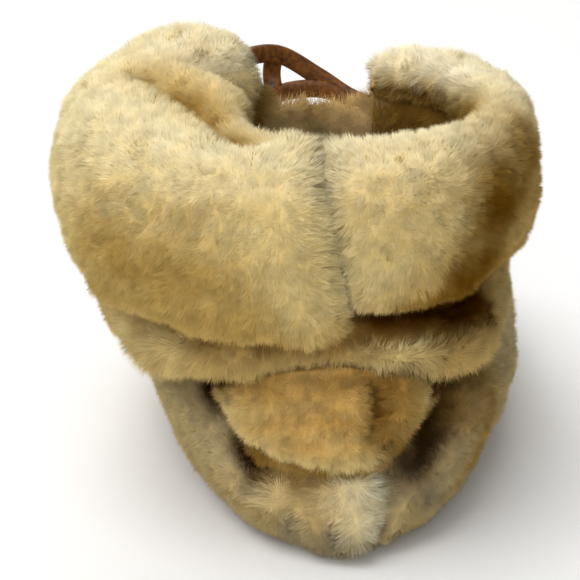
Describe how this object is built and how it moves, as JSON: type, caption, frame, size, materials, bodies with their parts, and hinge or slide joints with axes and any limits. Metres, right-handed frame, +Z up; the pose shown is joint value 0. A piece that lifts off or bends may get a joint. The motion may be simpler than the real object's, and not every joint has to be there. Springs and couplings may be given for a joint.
{
  "type": "baby slipper",
  "caption": "Soft ankle-high baby slipper of sheepskin with the wool outside, a thick turned-down cuff, a laced throat and a flat suede sole.",
  "frame": {"origin": "on the flat underside of the sole, under the middle of the ankle", "axes": "+Y from the heel to the toe, +X to the right of a wearer looking along +Y, +Z up from the floor"},
  "size_m": [0.1001, 0.1511, 0.0912],
  "materials": {
    "suede": "napped",
    "lining": "woolly",
    "foot_wool": "short wool",
    "heel_wool": "short wool",
    "band_wool": "short wool",
    "cuff_wool": "deep wool",
    "thong": "satin"
  },
  "bodies": {
    "root": {"outsole": "suede", "insole": "lining", "upper": "foot_wool", "heel_counter": "heel_wool", "ankle_band": "band_wool", "cuff_left": "cuff_wool", "cuff_right": "cuff_wool", "lace": "thong"}
  },
  "joints": []
}
